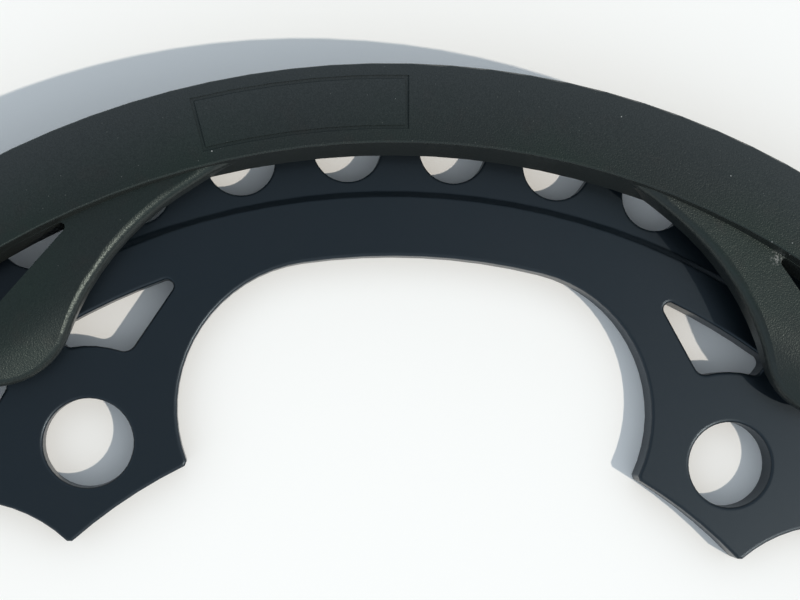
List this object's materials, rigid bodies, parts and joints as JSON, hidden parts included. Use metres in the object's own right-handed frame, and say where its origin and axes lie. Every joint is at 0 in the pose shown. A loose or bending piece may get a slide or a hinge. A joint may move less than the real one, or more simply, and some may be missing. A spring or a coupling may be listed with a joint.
{
  "type": "bicycle chain guard on its chainring",
  "caption": "Moulded chain guard ring whose forked legs stand on the arms of a toothed chainring, held by small screws from the rear; keeps clothing off the chain.",
  "frame": {"origin": "on the ring's axis, at the rear face of the chainring, which is the lowest point", "axes": "+Z along the ring's axis from the chainring's rear to the guard's front; +Y through the middle of a gap between two arms"},
  "size_m": [0.1948, 0.1948, 0.0118],
  "materials": {
    "guard_plastic": "fine spark-textured black plastic",
    "anodised_plate": "satin black anodised aluminium",
    "screw_steel": "blackened steel"
  },
  "bodies": {
    "root": {"chain_guard": "guard_plastic", "chainring": "anodised_plate", "guard_screws": "screw_steel"}
  },
  "joints": []
}
